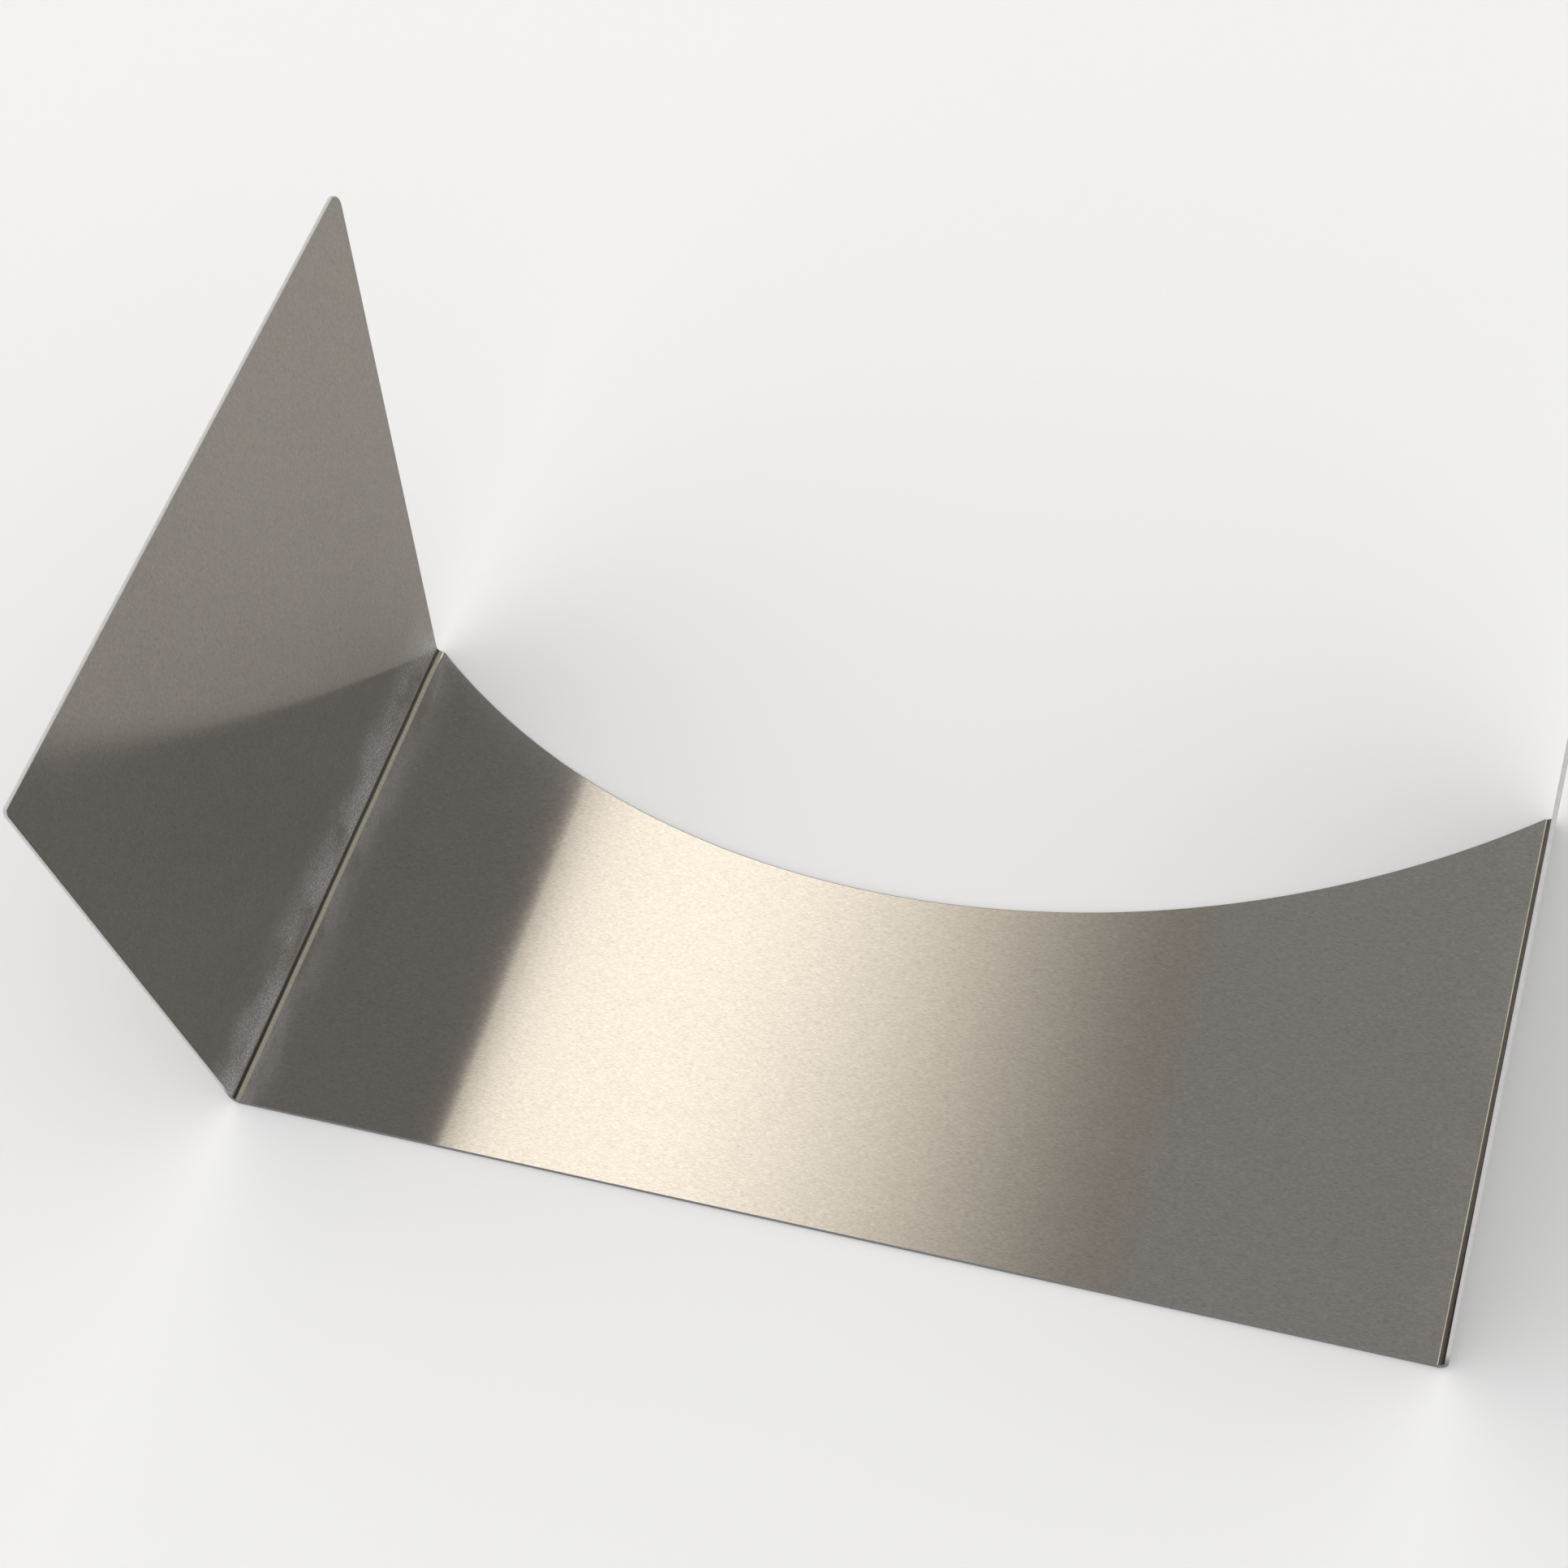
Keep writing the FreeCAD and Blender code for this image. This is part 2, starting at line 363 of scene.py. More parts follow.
    def to_object(
        self,
        region: Region,
        across: np.ndarray,
        points: np.ndarray,
        normals: np.ndarray,
        along: np.ndarray,
        gap: np.ndarray,
    ) -> bpy.types.Object:
        """Puts a grid of points into a mesh with faces, map, gap and normals.

        Args:
            region: The region that names the piece.
            across: The stations, one a row.
            points: The grid of points, rows across the sheet and columns round the profile.
            normals: The grid's outward directions.
            along: Y of each point.
            gap: Distance of each point to the nearest cut edge, in the sheet.

        Returns:
            The new object, linked to the scene.
        """
        faces, is_cap = self.faces(*points.shape[:2])
        mesh = bpy.data.meshes.new(f"{region.value}_sheet")
        mesh.from_pydata(points.reshape(-1, 3), [], faces)
        vertex = np.zeros(len(mesh.loops), np.int32)
        mesh.loops.foreach_get("vertex_index", vertex)
        places = np.stack([along, np.broadcast_to(across, along.shape)], axis=-1).reshape(-1, 2)
        layer = mesh.uv_layers.new(name=SHEET_MAP)
        layer.uv.foreach_set("vector", places[vertex].astype(np.float32).ravel())
        held = mesh.attributes.new(EDGE_GAP, "FLOAT", "POINT")
        held.data.foreach_set("value", gap.astype(np.float32).ravel())
        mesh.polygons.foreach_set("use_smooth", np.ones(len(faces), bool))
        mesh.polygons.foreach_set("material_index", self.finishes(across, points.shape[1], len(faces)))
        mesh.update()
        loop_normals = normals.reshape(-1, 3)[vertex]
        of_cap = np.repeat(is_cap, 4)
        face_normals = np.zeros(len(faces) * 3, np.float32)
        mesh.polygons.foreach_get("normal", face_normals)
        flat = np.repeat(face_normals.reshape(-1, 3), 4, axis=0)
        loop_normals = np.where(of_cap[:, None], flat, loop_normals)
        mesh.normals_split_custom_set(loop_normals)
        piece = bpy.data.objects.new(f"{region.value}_sheet", mesh)
        bpy.context.scene.collection.objects.link(piece)
        return piece

    def faces(self, rows: int, columns: int) -> tuple[np.ndarray, np.ndarray]:
        """Quads round the profile between stations, and a strip of quads across each open end.

        Args:
            rows: How many stations there are.
            columns: How many points the profile has.

        Returns:
            The quads, wound so that they face outwards, and a mark for those on a cap.
        """
        index = np.arange(rows * columns).reshape(rows, columns)
        following = np.roll(index, -1, axis=1)
        quads = [index[:-1], following[:-1], following[1:], index[1:]]
        sides = np.stack(quads, axis=-1).reshape(-1, 4)
        half = columns // 2
        outer, inner = index[:, :half], index[:, :half - 1:-1]
        first = [outer[0, :-1], inner[0, :-1], inner[0, 1:], outer[0, 1:]]
        last = [outer[-1, :-1], outer[-1, 1:], inner[-1, 1:], inner[-1, :-1]]
        caps = np.concatenate([np.stack(first, axis=-1), np.stack(last, axis=-1)])
        is_cap = np.arange(len(sides) + len(caps)) >= len(sides)
        return np.concatenate([sides, caps]), is_cap

    def finishes(self, across: np.ndarray, columns: int, face_count: int) -> np.ndarray:
        """Which finish each face takes: 0 on the sheet's two faces, 1 on its cut edges and caps.

        Args:
            across: The stations, one a row.
            columns: How many points the profile has.
            face_count: How many faces the mesh has, sides first.

        Returns:
            The finish's number for each face.
        """
        half = columns // 2
        place = np.arange(columns) % half
        in_break = (place < self.break_steps) | (place >= half - self.break_steps - 1)
        size = np.abs(across)
        lower = np.minimum(size[:-1], size[1:])
        at_top = lower > self.sheet.top - self.sheet.edge_break - HAIR
        finish = np.ones(face_count, np.int32)
        sides = (at_top | in_break).ravel()
        finish[: sides.size] = sides
        return finish


class NodeSheet:
    """A node tree with short calls for adding nodes and linking them."""

    def __init__(self, tree: bpy.types.NodeTree) -> None:
        """Holds the tree that the calls work on."""
        self.tree = tree

    def add(self, kind: str, **settings: object) -> bpy.types.Node:
        """Adds a node and sets its properties.

        Args:
            kind: The node's type.
            settings: Its properties, by name.

        Returns:
            The new node.
        """
        node = self.tree.nodes.new(kind)
        for name, value in settings.items():
            setattr(node, name, value)
        return node

    def feed(self, target: bpy.types.NodeSocket, source: object) -> None:
        """Links a socket to an input, or sets the input to a plain value.

        Args:
            target: The input.
            source: The output socket to link, or the value.
        """
        if isinstance(source, bpy.types.NodeSocket):
            self.tree.links.new(source, target)
        else:
            target.default_value = source

    def math(self, operation: str, *values: object, clamp: bool = False) -> bpy.types.NodeSocket:
        """Adds a Math node.

        Args:
            operation: What it works out.
            values: Up to three sockets or plain values.
            clamp: Whether the result stays between 0 and 1.

        Returns:
            Its result.
        """
        node = self.add("ShaderNodeMath", operation=operation, use_clamp=clamp)
        for socket, value in zip(node.inputs, values):
            self.feed(socket, value)
        return node.outputs[0]

    def ranged(
        self, value: object, low: float, high: float, to_low: float = 0.0, to_high: float = 1.0
    ) -> bpy.types.NodeSocket:
        """Adds a Map Range node with a smooth step.

        Args:
            value: What is mapped.
            low: Where the step starts.
            high: Where it ends.
            to_low: The result at its start.
            to_high: The result at its end.

        Returns:
            Its result.
        """
        node = self.add("ShaderNodeMapRange", interpolation_type="SMOOTHSTEP")
        for socket, part in zip(node.inputs, (value, low, high, to_low, to_high)):
            self.feed(socket, part)
        return node.outputs[0]

    def noise(
        self, vector: object, scale: float, detail: float, roughness: float = 0.5
    ) -> bpy.types.NodeSocket:
        """Adds a three-dimensional noise.

        Args:
            vector: Where it is read.
            scale: Its scale.
            detail: How many finer layers it has.
            roughness: How strong the finer layers are.

        Returns:
            The noise, about 0.5.
        """
        node = self.add("ShaderNodeTexNoise")
        self.feed(node.inputs["Vector"], vector)
        self.feed(node.inputs["Scale"], scale)
        self.feed(node.inputs["Detail"], detail)
        self.feed(node.inputs["Roughness"], roughness)
        return node.outputs["Fac"]

    def stretched(
        self, vector: object, scale: Triple, place: Triple = (0.0, 0.0, 0.0)
    ) -> bpy.types.NodeSocket:
        """Adds a Mapping node that scales a vector and moves it.

        Args:
            vector: The vector.
            scale: Its scale along each axis.
            place: How far it is moved.

        Returns:
            The new vector.
        """
        node = self.add("ShaderNodeMapping")
        self.feed(node.inputs["Vector"], vector)
        self.feed(node.inputs["Location"], place)
        self.feed(node.inputs["Scale"], scale)
        return node.outputs[0]

    def mixed(self, share: object, first: object, second: object) -> bpy.types.NodeSocket:
        """Adds a Mix node of two colours.

        Args:
            share: The second colour's share.
            first: The first colour.
            second: The second colour.

        Returns:
            The mixed colour.
        """
        node = self.add("ShaderNodeMix", data_type="RGBA")
        self.feed(node.inputs["Factor"], share)
        self.feed(node.inputs[6], first)
        self.feed(node.inputs[7], second)
        return node.outputs[2]

    def group(self, tree: bpy.types.NodeTree, **inputs: object) -> bpy.types.Node:
        """Adds a group node and feeds its inputs by name.

        Args:
            tree: The node group.
            inputs: Sockets or plain values, by the input's name.

        Returns:
            The new node.
        """
        node = self.add("ShaderNodeGroup", node_tree=tree)
        for name, value in inputs.items():
            self.feed(node.inputs[name], value)
        return node


def new_group(name: str, inputs: dict[str, str], outputs: list[str]) -> tuple[NodeSheet, dict, dict]:
    """Makes an empty shader node group.

    Args:
        name: The group's name.
        inputs: Socket kinds, by input name.
        outputs: Names of the outputs, all plain values.

    Returns:
        The group's node sheet, its input sockets by name and the output node's sockets by name.
    """
    tree = bpy.data.node_groups.new(name, "ShaderNodeTree")
    for label, kind in inputs.items():
        tree.interface.new_socket(label, in_out="INPUT", socket_type=kind)
    for label in outputs:
        tree.interface.new_socket(label, in_out="OUTPUT", socket_type="NodeSocketFloat")
    nodes = NodeSheet(tree)
    given, made = nodes.add("NodeGroupInput"), nodes.add("NodeGroupOutput")
    return nodes, {n: given.outputs[n] for n in inputs}, {n: made.inputs[n] for n in outputs}


def brushed_grain() -> bpy.types.NodeTree:
    """Abrasive-belt grain: short streaks across the chute that follow the sheet round its bends.

    Outputs a fine streak value, which is also the grain's height, and a broad mottle value, both about
    0 to 1.

    Returns:
        The node group.
    """
    nodes, given, made = new_group(
        "brushed_grain", {"Sheet": "NodeSocketVector"}, ["Streaks", "Mottle"]
    )
    fine = nodes.noise(nodes.stretched(given["Sheet"], (2200.0, 460.0, 1.0)), 1.0, 3.0, 0.65)
    grit = nodes.noise(given["Sheet"], 2600.0, 1.0)
    long = nodes.noise(nodes.stretched(given["Sheet"], (650.0, 150.0, 1.0)), 1.0, 3.0, 0.6)
    cloud = nodes.noise(nodes.stretched(given["Sheet"], (90.0, 40.0, 1.0)), 1.0, 5.0, 0.6)
    broad = nodes.noise(nodes.stretched(given["Sheet"], (9.0, 5.0, 1.0)), 1.0, 2.0, 0.5)
    streaks = nodes.math("MULTIPLY_ADD", fine, 0.58, nodes.math("MULTIPLY", long, 0.2))
    streaks = nodes.math("MULTIPLY_ADD", grit, 0.22, streaks)
    nodes.feed(made["Streaks"], streaks)
    nodes.feed(made["Mottle"], nodes.math("MULTIPLY_ADD", cloud, 0.45, nodes.math("MULTIPLY", broad, 0.55)))
    return nodes.tree


def bend_haze() -> bpy.types.NodeTree:
    """Pale rubbed haze on both sides of a bend, where the press tool marked the sheet.

    The haze rises a few millimetres from the bend and dies away further out, in patches along the bend, and
    a fine speckle breaks it up. It is faint on the faces that look out of the chute. Outputs one mask from
    0 to 1.

    Returns:
        The node group.
    """
    inputs = {"Sheet": "NodeSocketVector", "Bend": "NodeSocketFloat", "Reach": "NodeSocketFloat"}
    nodes, given, made = new_group("bend_haze", inputs, ["Mask"])
    split = nodes.add("ShaderNodeSeparateXYZ")
    nodes.feed(split.inputs[0], given["Sheet"])
    away = nodes.math("SUBTRACT", nodes.math("ABSOLUTE", split.outputs[1]), given["Bend"])
    up_wall = nodes.math("GREATER_THAN", away, 0.0)
    reach = nodes.math("MULTIPLY", given["Reach"], nodes.math("MULTIPLY_ADD", up_wall, 0.3, 0.7))
    share = nodes.math("DIVIDE", nodes.math("ABSOLUTE", away), reach)
    falling = nodes.ranged(share, 0.15, 1.0, 1.0, 0.0)
    rising = nodes.ranged(share, 0.03, 0.15)
    cloud = nodes.stretched(given["Sheet"], (28.0, 28.0, 1.0), (3.1, 0.4, 0.0))
    patches = nodes.ranged(nodes.noise(cloud, 1.0, 4.0, 0.55), 0.30, 0.62)
    grit = nodes.noise(nodes.stretched(given["Sheet"], (1000.0, 850.0, 1.0)), 1.0, 4.0, 0.75)
    speckle = nodes.math("MULTIPLY", patches, nodes.ranged(grit, 0.42, 0.62, 0.22, 1.0))
    side = nodes.math("MULTIPLY_ADD", up_wall, 0.83, 0.12)
    coordinates = nodes.add("ShaderNodeTexCoord")
    place, normal = nodes.add("ShaderNodeSeparateXYZ"), nodes.add("ShaderNodeSeparateXYZ")
    nodes.feed(place.inputs[0], coordinates.outputs["Object"])
    nodes.feed(normal.inputs[0], coordinates.outputs["Normal"])
    outward = nodes.math("MULTIPLY", nodes.math("SIGN", place.outputs[0]), normal.outputs[0])
    looks_in = nodes.math("GREATER_THAN", nodes.math("SUBTRACT", normal.outputs[2], outward), 0.0)
    side = nodes.math("MULTIPLY", side, nodes.math("MULTIPLY_ADD", looks_in, 0.85, 0.15))
    mask = nodes.math("MULTIPLY", nodes.math("MULTIPLY", falling, rising), speckle)
    nodes.feed(made["Mask"], nodes.math("MULTIPLY", mask, side))
    return nodes.tree


def bend_lines() -> bpy.types.NodeTree:
    """Masks for two lines of painted light inside a bend: painted shade in the crease towards the wall, and a
    line towards the bed that is a painted highlight in the left bend and painted shade in the right.

    Each is a band about its own place across the sheet, given as a share of the bend's half width. Outputs
    the two masks and a mark for the left bend, from 0 to 1.

    Returns:
        The node group.
    """
    inputs = {"Sheet": "NodeSocketVector", "Bend": "NodeSocketFloat", "Half": "NodeSocketFloat"}
    nodes, given, made = new_group("bend_lines", inputs, ["CreaseShade", "PaintedLine", "Left"])
    split = nodes.add("ShaderNodeSeparateXYZ")
    nodes.feed(split.inputs[0], given["Sheet"])
    away = nodes.math("SUBTRACT", nodes.math("ABSOLUTE", split.outputs[1]), given["Bend"])
    wander = nodes.noise(nodes.stretched(given["Sheet"], (35.0, 1.0, 1.0)), 1.0, 2.0)
    share = nodes.math("DIVIDE", away, given["Half"])
    share = nodes.math("MULTIPLY_ADD", nodes.math("SUBTRACT", wander, 0.5), 0.3, share)
    # The band towards the wall is painted crease shade; the band towards the bed carries a painted highlight
    # in the left bend and painted shade in the right.
    for label, place, width in (("CreaseShade", 0.45, 0.60), ("PaintedLine", -0.38, 0.56)):
        gap = nodes.math("ABSOLUTE", nodes.math("SUBTRACT", share, place))
        nodes.feed(made[label], nodes.ranged(gap, width * 0.45, width, 1.0, 0.0))
    nodes.feed(made["Left"], nodes.math("LESS_THAN", split.outputs[1], 0.0))
    return nodes.tree


def edge_wear() -> bpy.types.NodeTree:
    """A thin rubbed line that follows the cut edges, broken up by noise.

    Outputs one mask, 1 at the edge and 0 past the width.

    Returns:
        The node group.
    """
    inputs = {"Gap": "NodeSocketFloat", "Width": "NodeSocketFloat", "Place": "NodeSocketVector"}
    nodes, given, made = new_group("edge_wear", inputs, ["Mask"])
    uneven = nodes.noise(given["Place"], 420.0, 3.0, 0.6)
    width = nodes.math("MULTIPLY", given["Width"], nodes.math("MULTIPLY_ADD", uneven, 1.8, 0.1))
    share = nodes.math("DIVIDE", given["Gap"], width)
    nodes.feed(made["Mask"], nodes.ranged(share, 0.0, 1.0, 1.0, 0.0))
    return nodes.tree


@dataclass(frozen=True)
class BrushedSteel:
    """Belt-brushed stainless, worn bright along its cut edges and hazed beside the bends, with painted shade
    in the bends' creases, a painted highlight along the left bend and painted shade along the right.

    Attributes:
        colour: The steel's own colour.
        pale: The colour of rubbed and hazed steel.
        crease_shade: Painted shade: the dark colour put in the crease inside a bend.
        highlight_line: Painted highlight: the bright colour of the line inside the left bend, towards the
            bed.
        shaded_line: Painted shade: the dark colour of that line inside the right bend.
        roughness: Roughness of the clean grain.
        anisotropy: How much further reflections spread across the grain than along it.
        streak_contrast: How much the streaks change the colour.
        grain_depth: Height of the grain.
        haze_reach: How far the haze goes from a bend.
        wear_width: Width of the rubbed line at the cut edges.
        wear_share: How far that line goes towards the pale colour.
        mottle_contrast: How much the broad mottle changes the colour.
        haze_roughness: How much rougher the haze is.
        haze_dullness: How much less metallic the haze is.
    """

    colour: Triple = (0.60, 0.585, 0.56)
    pale: Triple = (0.84, 0.85, 0.92)
    crease_shade: Triple = (0.20, 0.18, 0.19)
    highlight_line: Triple = (0.86, 0.85, 0.67)
    shaded_line: Triple = (0.30, 0.28, 0.24)
    roughness: float = 0.132
    anisotropy: float = 0.98
    streak_contrast: float = 0.70
    grain_depth: float = 0.0000022
    haze_reach: float = 0.034
    wear_width: float = 0.0007
    wear_share: float = 0.6
    mottle_contrast: float = 0.20
    haze_roughness: float = 0.28
    haze_dullness: float = 0.6

    def build(self, groups: dict[str, bpy.types.NodeTree], folded: FoldedSheet) -> bpy.types.Material:
        """Makes the material.

        Args:
            groups: The shared node groups, by name.
            folded: The sheet, for the places of its bends.

        Returns:
            The new material.
        """
        material = bpy.data.materials.new("brushed_steel")
        material.use_nodes = True
        nodes = NodeSheet(material.node_tree)
        shader = material.node_tree.nodes["Principled BSDF"]
        sheet = nodes.add("ShaderNodeUVMap", uv_map=SHEET_MAP).outputs[0]
        grain = nodes.group(groups["grain"], Sheet=sheet)
        bend, half = folded.half_bed + folded.fold_width / 2, folded.fold_width / 2
        haze = nodes.group(groups["haze"], Sheet=sheet, Bend=bend, Reach=self.haze_reach)
        lines = nodes.group(groups["lines"], Sheet=sheet, Bend=bend, Half=half)
        gap = nodes.add("ShaderNodeAttribute", attribute_name=EDGE_GAP).outputs["Fac"]
        place = nodes.add("ShaderNodeTexCoord").outputs["Object"]
        wear = nodes.group(groups["wear"], Gap=gap, Width=self.wear_width, Place=place)
        streaks, mottle = grain.outputs["Streaks"], grain.outputs["Mottle"]
        worn = nodes.math("MULTIPLY", wear.outputs[0], self.wear_share)
        rubbed = nodes.math("MAXIMUM", haze.outputs[0], worn)
        tone = nodes.math("MULTIPLY_ADD", nodes.math("SUBTRACT", streaks, 0.5), self.streak_contrast * 2, 1.0)
        cloudy = nodes.math("MULTIPLY_ADD", mottle, self.mottle_contrast, -self.mottle_contrast / 2)
        tone = nodes.math("ADD", tone, cloudy)
        colour = nodes.mixed(rubbed, (*self.colour, 1.0), (*self.pale, 1.0))
        # Painted shade goes in each bend's crease; the line towards the bed is a painted highlight in the
        # left bend and painted shade in the right.
        colour = nodes.mixed(lines.outputs["CreaseShade"], colour, (*self.crease_shade, 1.0))
        painted_line = nodes.mixed(lines.outputs["Left"], (*self.shaded_line, 1.0), (*self.highlight_line, 1.0))
        colour = nodes.mixed(lines.outputs["PaintedLine"], colour, painted_line)
        shade = nodes.add("ShaderNodeVectorMath", operation="SCALE")
        nodes.feed(shade.inputs[0], colour)
        nodes.feed(shade.inputs["Scale"], tone)
        nodes.feed(shader.inputs["Base Color"], shade.outputs[0])
        uneven = nodes.math("MULTIPLY_ADD", mottle, 0.05, self.roughness - 0.025)
        uneven = nodes.math("MULTIPLY_ADD", streaks, 0.03, nodes.math("SUBTRACT", uneven, 0.015))
        rough = nodes.math("MULTIPLY_ADD", haze.outputs[0], self.haze_roughness, uneven)
        nodes.feed(shader.inputs["Roughness"], rough)
        metallic = nodes.math("MULTIPLY_ADD", haze.outputs[0], -self.haze_dullness, 1.0)
        nodes.feed(shader.inputs["Metallic"], metallic)
        shader.inputs["Anisotropic"].default_value = self.anisotropy
        tangent = nodes.add("ShaderNodeTangent", direction_type="UV_MAP", uv_map=SHEET_MAP)
        nodes.feed(shader.inputs["Tangent"], tangent.outputs[0])
        bump = nodes.add("ShaderNodeBump")
        bump.inputs["Distance"].default_value = self.grain_depth
        nodes.feed(bump.inputs["Height"], streaks)
        nodes.feed(shader.inputs["Normal"], bump.outputs[0])
        return material


@dataclass(frozen=True)
class GroundEdge:
    """The sheet's cut edges, ground with a fine wheel: brighter and finer than the faces, with painted
    contact shade darkening them close to the floor.

    Attributes:
        colour: The ground steel's colour.
        dull: The colour of the less worn spots.
        contact_shade: Painted contact shade: the darker colour given to the edges close to the floor.
        shade_height: How high above the floor the painted contact shade ends.
        metallic: How metallic the matt ground surface still looks.
        roughness: Roughness of the ground edge.
        mark_depth: Height of the grinding marks.
        wear_gap: How far inside the edge its wear is read.
        wear_width: Width of that wear.
    """

    colour: Triple = (0.95, 0.95, 0.95)
    dull: Triple = (0.80, 0.80, 0.81)
    contact_shade: Triple = (0.30, 0.29, 0.31)
    shade_height: float = 0.016
    metallic: float = 0.5
    roughness: float = 0.4
    mark_depth: float = 0.000004
    wear_gap: float = 0.0003
    wear_width: float = 0.0005

    def build(self, groups: dict[str, bpy.types.NodeTree]) -> bpy.types.Material:
        """Makes the material.

        Args:
            groups: The shared node groups, by name.

        Returns:
            The new material.
        """
        material = bpy.data.materials.new("ground_edge")
        material.use_nodes = True
        nodes = NodeSheet(material.node_tree)
        shader = material.node_tree.nodes["Principled BSDF"]
        place = nodes.add("ShaderNodeTexCoord").outputs["Object"]
        wear = nodes.group(groups["wear"], Gap=self.wear_gap, Width=self.wear_width, Place=place)
        marks = nodes.noise(place, 1400.0, 3.0, 0.6)
        colour = nodes.mixed(wear.outputs[0], (*self.dull, 1.0), (*self.colour, 1.0))
        split = nodes.add("ShaderNodeSeparateXYZ")
        nodes.feed(split.inputs[0], place)
        # Painted contact shade: the edges darken towards the floor.
        contact_shading = nodes.ranged(split.outputs[2], self.shade_height / 4, self.shade_height, 1.0, 0.0)
        nodes.feed(shader.inputs["Base Color"], nodes.mixed(contact_shading, colour, (*self.contact_shade, 1.0)))
        nodes.feed(
            shader.inputs["Roughness"], nodes.math("MULTIPLY_ADD", marks, 0.16, self.roughness - 0.08)
        )
        shader.inputs["Metallic"].default_value = self.metallic
        bump = nodes.add("ShaderNodeBump")
        bump.inputs["Distance"].default_value = self.mark_depth
        nodes.feed(bump.inputs["Height"], marks)
        nodes.feed(shader.inputs["Normal"], bump.outputs[0])
        return material


@dataclass(frozen=True)
class ChuteSection:
    """The open chute: five regions of one sheet, dressed in brushed steel with ground edges."""

    sheet: FoldedSheet

    @classmethod
    def from_frame(cls) -> "ChuteSection":
        """Reads the sheet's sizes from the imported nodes' boxes.

        Returns:
            The chute section of those sizes.
        """
        bed_low, bed_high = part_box(Region.BED.value)
        wall_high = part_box(Region.RIGHT_WALL.value)[1]
        return cls(FoldedSheet(bed_low.y, bed_high.y, bed_high.x, bed_high.z - bed_low.z, wall_high.z))

    def build(self) -> list[bpy.types.Object]:
        """Makes and dresses every region, and puts each on the part's body in place of its node.

        Returns:
            The pieces, from left to right.
        """
        groups = {
            "grain": brushed_grain(),
            "haze": bend_haze(),
            "lines": bend_lines(),
            "wear": edge_wear(),
        }
        finishes = [BrushedSteel().build(groups, self.sheet), GroundEdge().build(groups)]
        mesher = RegionMesher(self.sheet)
        pieces = []
        for region in Region:
            piece = mesher.build(region)
            for finish in finishes:
                piece.data.materials.append(finish)
            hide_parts(region.value)
            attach(piece, "root")
            log.info("%s: %d faces", piece.name, len(piece.data.polygons))
            pieces.append(piece)
        return pieces


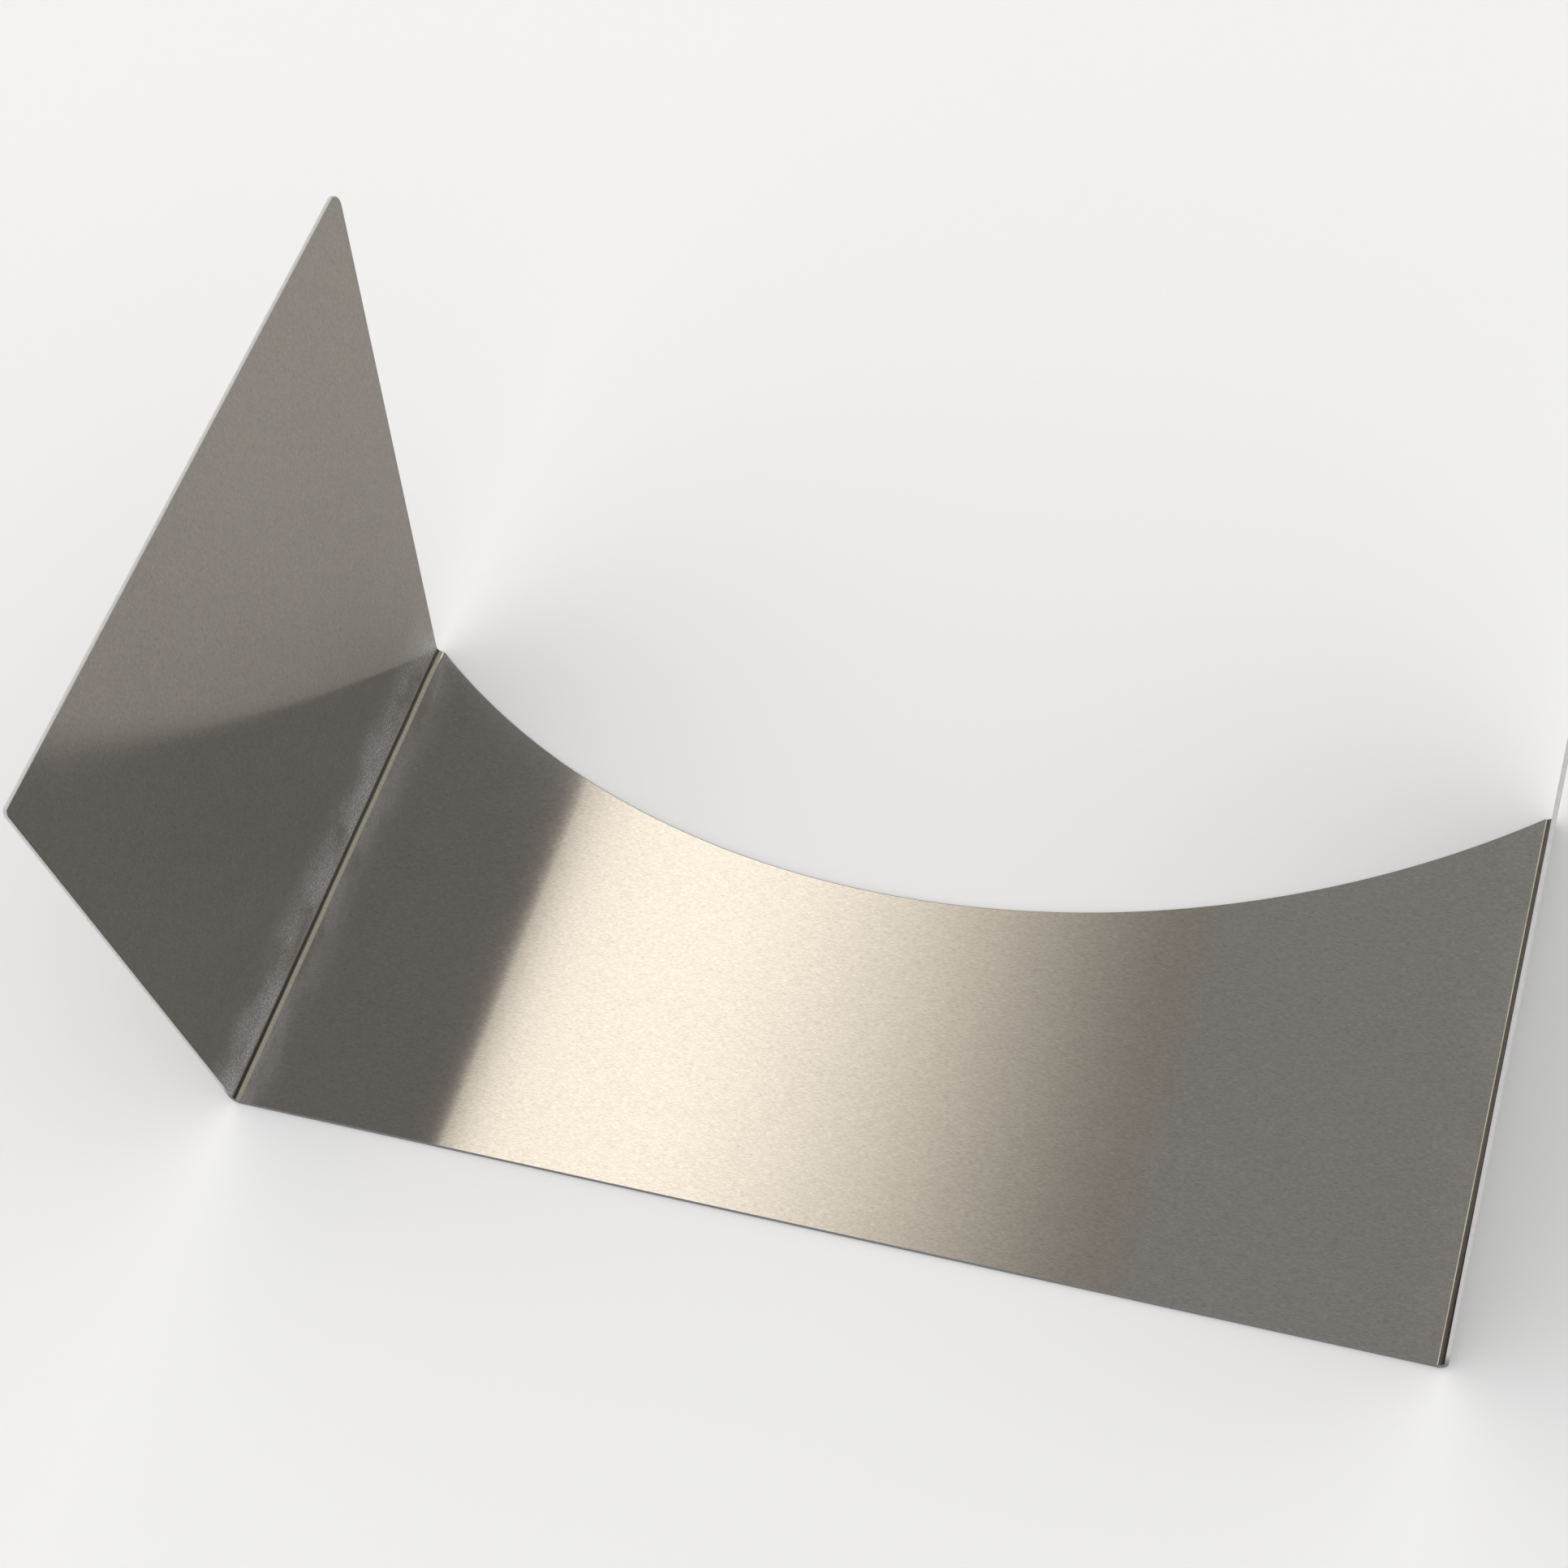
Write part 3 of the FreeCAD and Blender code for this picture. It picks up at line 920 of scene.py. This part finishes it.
@dataclass(frozen=True)
class Studio:
    """A pale floor, plain white light, one soft box, grey surroundings for the steel, and the camera.

    Attributes:
        aim: The point of the bed that the camera looks at.
        distance: From the camera to that point.
        azimuth: The camera's direction round the object, where 0 looks along +Y.
        elevation: The camera's height above the horizon, as an angle.
        roll: The camera's turn about its own line of sight.
        lens: Focal length in millimetres.
        shift: The lens's sideways and upward shift, as shares of the picture's width.
        floor_size: Half the floor's width.
        floor_colour: The floor as it looks.
        floor_mirrored: The floor as the steel mirrors it.
        light: Strength of the white light from all round.
        surround_radius: Radius of the grey dome that the steel mirrors.
        surround_colour: The dome's grey.
        box_centre: Centre of the soft box.
        box_size: Its width and its length.
        box_colour: Its colour.
        box_strength: How brightly it glows.
        box_dim: How brightly its faded right-hand edge still glows.
    """

    aim: Triple = (-0.0640, -0.0382, 0.0015)
    distance: float = 1.0696
    azimuth: float = math.radians(35.33)
    elevation: float = math.radians(56.78)
    roll: float = math.radians(-20.19)
    lens: float = 58.51
    shift: tuple[float, float] = (0.0343, 0.1024)
    floor_size: float = 40.0
    floor_colour: Triple = (0.93, 0.93, 0.93)
    floor_mirrored: Triple = (0.45, 0.43, 0.40)
    light: float = 0.95
    surround_radius: float = 5.0
    surround_colour: Triple = (0.30, 0.29, 0.28)
    box_centre: Triple = (-0.65, 1.0, 2.0)
    box_size: tuple[float, float] = (0.9, 2.0)
    box_colour: Triple = (1.0, 0.92, 0.80)
    box_strength: float = 1.7
    box_dim: float = 0.3

    def build(self) -> None:
        """Makes the whole studio."""
        self.world()
        self.floor()
        self.surroundings()
        self.soft_box()
        self.camera()
        bpy.context.scene.view_settings.view_transform = "Standard"

    def world(self) -> None:
        """Plain white light from all round."""
        world = bpy.data.worlds.new("studio_world")
        world.use_nodes = True
        background = world.node_tree.nodes["Background"]
        background.inputs["Color"].default_value = (1.0, 1.0, 1.0, 1.0)
        background.inputs["Strength"].default_value = self.light
        bpy.context.scene.world = world

    def floor(self) -> None:
        """A flat square floor under the part, which the steel mirrors in one plain middle tone."""
        size = self.floor_size
        corners = [(-size, -size, 0.0), (size, -size, 0.0), (size, size, 0.0), (-size, size, 0.0)]
        mesh = bpy.data.meshes.new("floor")
        mesh.from_pydata(corners, [], [(0, 1, 2, 3)])
        floor = bpy.data.objects.new("floor", mesh)
        bpy.context.scene.collection.objects.link(floor)
        material = bpy.data.materials.new("pale_floor")
        material.use_nodes = True
        nodes = NodeSheet(material.node_tree)
        shader = material.node_tree.nodes["Principled BSDF"]
        mirrored = nodes.add("ShaderNodeLightPath").outputs["Is Glossy Ray"]
        colour = nodes.mixed(mirrored, (*self.floor_colour, 1.0), (*self.floor_mirrored, 1.0))
        nodes.feed(shader.inputs["Base Color"], colour)
        shader.inputs["Roughness"].default_value = 0.9
        shader.inputs["Specular IOR Level"].default_value = 0.0
        mesh.materials.append(material)

    def surroundings(self) -> None:
        """A plain grey half dome that is seen by nothing but mirror reflections.

        A point of it lies at radius times (cos e cos a, cos e sin a, sin e).
        """
        around, up = np.linspace(0.0, 2 * math.pi, 97)[:-1], np.linspace(-0.03, 1.0, 40) * math.pi / 2
        azimuth, height = np.meshgrid(around, up[:-1])
        directions = np.stack(
            [np.cos(height) * np.cos(azimuth), np.cos(height) * np.sin(azimuth), np.sin(height)], axis=-1
        )
        points = np.concatenate([directions.reshape(-1, 3), [(0.0, 0.0, 1.0)]]) * self.surround_radius
        index = np.arange(azimuth.size).reshape(azimuth.shape)
        beside = np.roll(index, -1, axis=1)
        quads = np.stack([index[:-1], index[1:], beside[1:], beside[:-1]], axis=-1).reshape(-1, 4)
        peak = np.full(index.shape[1], azimuth.size)
        cap = np.stack([index[-1], peak, beside[-1]], axis=-1)
        mesh = bpy.data.meshes.new("surroundings")
        mesh.from_pydata(points, [], quads.tolist() + cap.tolist())
        emission = self.glowing(mesh)[1]
        emission.inputs["Color"].default_value = (*self.surround_colour, 1.0)
        dome = self.staged(mesh)
        for ray in ("camera", "diffuse", "transmission", "volume_scatter", "shadow"):
            setattr(dome, f"visible_{ray}", False)

    def soft_box(self) -> None:
        """A level panel above and to the left that glows softly and fades towards its right-hand side."""
        x, y, z = self.box_centre
        wide, long = self.box_size[0] / 2, self.box_size[1] / 2
        left, right = x - wide, x + wide
        corners = [(left, y - long, z), (left, y + long, z), (right, y + long, z), (right, y - long, z)]
        mesh = bpy.data.meshes.new("soft_box")
        mesh.from_pydata(corners, [], [(0, 1, 2, 3)])
        nodes, emission = self.glowing(mesh)
        split = nodes.add("ShaderNodeSeparateXYZ")
        nodes.feed(split.inputs[0], nodes.add("ShaderNodeTexCoord").outputs["Object"])
        fade = nodes.ranged(split.outputs[0], x - wide / 2, right, self.box_strength, self.box_dim)
        emission.inputs["Color"].default_value = (*self.box_colour, 1.0)
        nodes.feed(emission.inputs["Strength"], fade)
        self.staged(mesh).visible_camera = False

    def glowing(self, mesh: bpy.types.Mesh) -> tuple[NodeSheet, bpy.types.Node]:
        """Gives a mesh a material that only glows.

        Args:
            mesh: The mesh to dress.

        Returns:
            The material's node sheet and its Emission node.
        """
        material = bpy.data.materials.new(f"{mesh.name}_glow")
        material.use_nodes = True
        nodes = NodeSheet(material.node_tree)
        material.node_tree.nodes.remove(material.node_tree.nodes["Principled BSDF"])
        emission = nodes.add("ShaderNodeEmission")
        output = material.node_tree.nodes["Material Output"]
        nodes.feed(output.inputs["Surface"], emission.outputs[0])
        mesh.materials.append(material)
        return nodes, emission

    def staged(self, mesh: bpy.types.Mesh) -> bpy.types.Object:
        """Puts a mesh into the scene as part of the stage.

        Args:
            mesh: The mesh.

        Returns:
            The new object.
        """
        thing = bpy.data.objects.new(mesh.name, mesh)
        bpy.context.scene.collection.objects.link(thing)
        return thing

    def camera(self) -> None:
        """The camera: back from its aim by azimuth, elevation and distance, then rolled."""
        level = math.cos(self.elevation)
        back = np.array(
            [math.sin(self.azimuth) * level, -math.cos(self.azimuth) * level, math.sin(self.elevation)]
        )
        flat = np.array([math.cos(self.azimuth), math.sin(self.azimuth), 0.0])
        upright = np.cross(back, flat)
        right = flat * math.cos(self.roll) + upright * math.sin(self.roll)
        up = np.cross(back, right)
        data = bpy.data.cameras.new("camera")
        data.lens = self.lens
        data.sensor_width = 36.0
        data.shift_x, data.shift_y = self.shift
        camera = bpy.data.objects.new("camera", data)
        place = np.array(self.aim) + back * self.distance
        matrix = np.eye(4)
        matrix[:3, 0], matrix[:3, 1], matrix[:3, 2], matrix[:3, 3] = right, up, back, place
        bpy.context.scene.collection.objects.link(camera)
        camera.matrix_world = Matrix(matrix.tolist())
        bpy.context.scene.camera = camera


def main() -> None:
    """Builds the chute section and its studio."""
    logging.basicConfig(level=logging.INFO, format="%(name)s: %(message)s")
    ChuteSection.from_frame().build()
    Studio().build()


if __name__ == "__main__":
    main()
